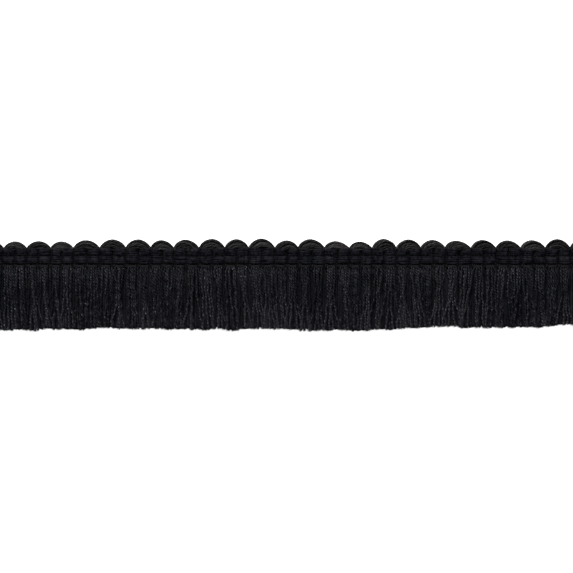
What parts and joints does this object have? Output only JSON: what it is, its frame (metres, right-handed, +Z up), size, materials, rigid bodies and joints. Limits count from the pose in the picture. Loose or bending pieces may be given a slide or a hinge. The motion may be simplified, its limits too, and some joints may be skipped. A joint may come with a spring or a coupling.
{
  "type": "brush fringe trim",
  "caption": "Cut length of black brush fringe trim that lies flat: a scalloped edge of yarn loops, a woven heading and a skirt of cut twisted yarns.",
  "frame": {"origin": "on the back of the skirt's root strip, half way along the trim", "axes": "+X along the trim, +Y towards the scalloped edge, +Z up out of its face"},
  "size_m": [0.219, 0.0325, 0.0035],
  "materials": {
    "gimp_yarn": "black twisted yarn with a soft sheen",
    "warp_thread": "fine black thread",
    "skirt_yarn": "black two-ply twisted yarn, cut at the tips"
  },
  "bodies": {
    "root": {"gimp_loops": "gimp_yarn", "warp_1": "warp_thread", "warp_2": "warp_thread", "warp_3": "warp_thread", "warp_4": "warp_thread", "stay_thread": "warp_thread", "brush_skirt": "skirt_yarn"}
  },
  "joints": []
}
